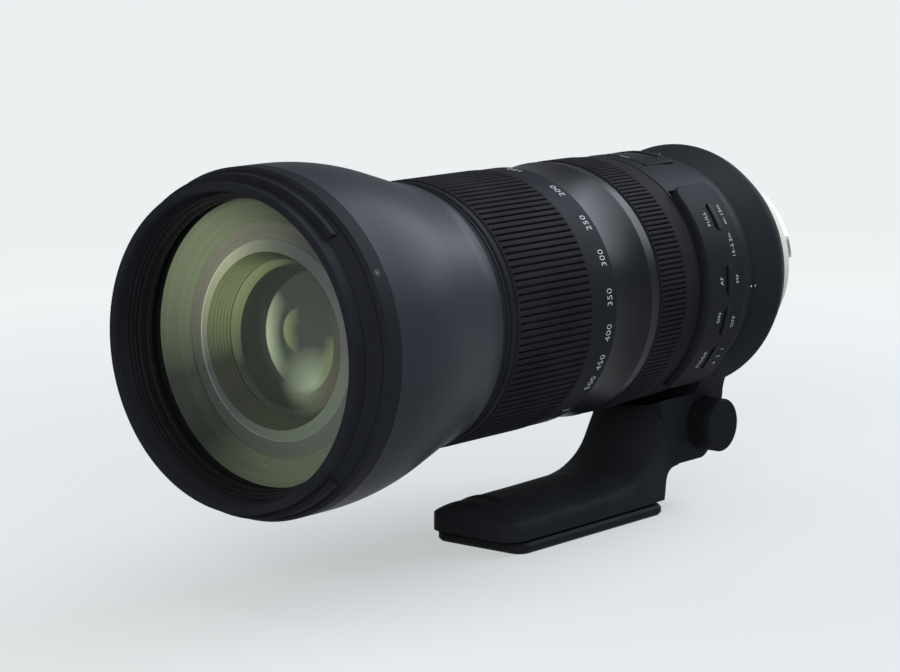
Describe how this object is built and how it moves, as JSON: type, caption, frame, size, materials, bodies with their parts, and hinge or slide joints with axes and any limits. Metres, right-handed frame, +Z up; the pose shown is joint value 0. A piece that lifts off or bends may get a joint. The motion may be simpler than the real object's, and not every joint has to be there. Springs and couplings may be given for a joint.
{
  "type": "camera zoom lens",
  "caption": "Long telephoto zoom lens with ribbed zoom and focus rings, a side switch panel, a distance window and a turning tripod collar with foot.",
  "frame": {"origin": "centre of the camera flange face, on the optical axis", "axes": "+Y along the optical axis towards the camera, so the front glass faces -Y; +Z up, away from the tripod foot; +X to the side with the switch panel and the clamp knob"},
  "size_m": [0.1084, 0.2652, 0.1372],
  "materials": {
    "barrel_satin": "satin",
    "barrel_black": "satin",
    "ring_metal": "satin",
    "rubber": "matte",
    "collar_black": "satin",
    "plate_black": "satin",
    "inner_metal": "satin",
    "inner_black": "matte",
    "inner_anodised": "satin",
    "cover_black": "satin",
    "panel_black": "satin",
    "switch_black": "satin",
    "lining": "satin",
    "ivory": "satin",
    "chrome": "polished",
    "steel": "satin",
    "dark_steel": "satin",
    "brass": "satin",
    "glass_front": "polished",
    "glass": "polished",
    "window_clear": "polished",
    "scale_black": "matte",
    "board_green": "satin",
    "gold": "polished",
    "knob_black": "satin"
  },
  "bodies": {
    "barrel": {"guide_tube": "inner_metal", "front_seal_ring": "rubber", "mid_cover": "cover_black", "main_barrel": "cover_black", "window_frame": "panel_black", "distance_window": "window_clear", "switch_panel": "panel_black", "index_ring": "collar_black", "rear_barrel": "barrel_black", "core_tube": "inner_anodised", "guide_rods": "steel", "iris_housing": "inner_anodised", "iris_blades": "dark_steel", "stabiliser_frame": "inner_anodised", "stabiliser_lens": "glass", "focus_motor": "inner_metal", "rear_lens_cell": "inner_anodised", "rear_element": "glass", "circuit_board": "board_green", "mount_ring": "ivory", "bayonet_mount": "chrome", "mount_screws": "steel", "contact_block": "inner_black", "contact_pins": "gold", "rear_baffle": "inner_black"},
    "front_unit": {"filter_ring": "barrel_black", "hood_bayonet_ring": "barrel_black", "front_flange_ring": "barrel_black", "front_barrel": "barrel_satin", "rear_trim_ring": "barrel_black", "front_retaining_ring": "inner_black", "front_element": "glass_front", "second_element": "glass", "third_element": "glass", "front_lens_cell": "inner_black", "extension_tube": "inner_black", "cam_rollers": "brass"},
    "zoom_ring": {"zoom_ring_shell": "ring_metal", "zoom_grip": "rubber", "cam_tube": "inner_metal", "zoom_keys": "steel"},
    "variator": {"variator_cell": "inner_anodised", "variator_lens": "glass"},
    "focus_group": {"focus_cell": "inner_anodised", "focus_lens": "glass"},
    "focus_ring": {"focus_ring_shell": "ring_metal", "focus_grip": "rubber", "distance_scale": "scale_black"},
    "tripod_collar": {"collar_ring": "collar_black", "collar_lining": "lining", "clamp_shoe": "brass", "tripod_foot": "collar_black", "foot_screws": "dark_steel", "dovetail_plate": "plate_black"},
    "clamp": {"clamp_knob": "knob_black", "clamp_screw": "plate_black"},
    "focus_limit_slide": {"focus_limit_switch": "switch_black"},
    "focus_mode_slide": {"focus_mode_switch": "switch_black"},
    "stabiliser_slide": {"stabiliser_switch": "switch_black"},
    "stabiliser_mode_slide": {"stabiliser_mode_switch": "switch_black"}
  },
  "joints": [
    {"name": "zoom_turn", "type": "hinge", "parent": "barrel", "child": "zoom_ring", "pos_m": [0, -0.149, 0], "axis": [0, -1, 0], "range_deg": [0, 150]},
    {"name": "front_extend", "type": "slide", "parent": "barrel", "child": "front_unit", "axis": [0, -1, 0], "range_m": [0, 0.0801]},
    {"name": "variator_shift", "type": "slide", "parent": "barrel", "child": "variator", "axis": [0, 1, 0], "range_m": [0, 0.0301]},
    {"name": "focus_turn", "type": "hinge", "parent": "barrel", "child": "focus_ring", "pos_m": [0, -0.084, 0], "axis": [0, 1, 0], "range_deg": [0, 100]},
    {"name": "focus_shift", "type": "slide", "parent": "barrel", "child": "focus_group", "axis": [0, 1, 0], "range_m": [0, 0.0101]},
    {"name": "collar_turn", "type": "hinge", "parent": "barrel", "child": "tripod_collar", "pos_m": [0, -0.03, 0], "axis": [0, 1, 0], "continuous": true},
    {"name": "clamp_turn", "type": "hinge", "parent": "tripod_collar", "child": "clamp", "pos_m": [0.02, -0.02985, -0.05465], "axis": [1, 0, 0], "range_deg": [0, 540]},
    {"name": "focus_limit_switch", "type": "slide", "parent": "barrel", "child": "focus_limit_slide", "axis": [0, -1, 0], "range_m": [0, 0.0022]},
    {"name": "focus_mode_switch", "type": "slide", "parent": "barrel", "child": "focus_mode_slide", "axis": [0, -1, 0], "range_m": [0, 0.0022]},
    {"name": "stabiliser_switch", "type": "slide", "parent": "barrel", "child": "stabiliser_slide", "axis": [0, -1, 0], "range_m": [0, 0.0022]},
    {"name": "stabiliser_mode_switch", "type": "slide", "parent": "barrel", "child": "stabiliser_mode_slide", "axis": [0, -1, 0], "range_m": [0, 0.0022]}
  ],
  "couplings": [
    {"joint": "front_extend", "follows": "zoom_turn", "m_per_rad": 0.030558},
    {"joint": "variator_shift", "follows": "zoom_turn", "m_per_rad": 0.011459},
    {"joint": "focus_shift", "follows": "focus_turn", "m_per_rad": 0.0057296}
  ]
}
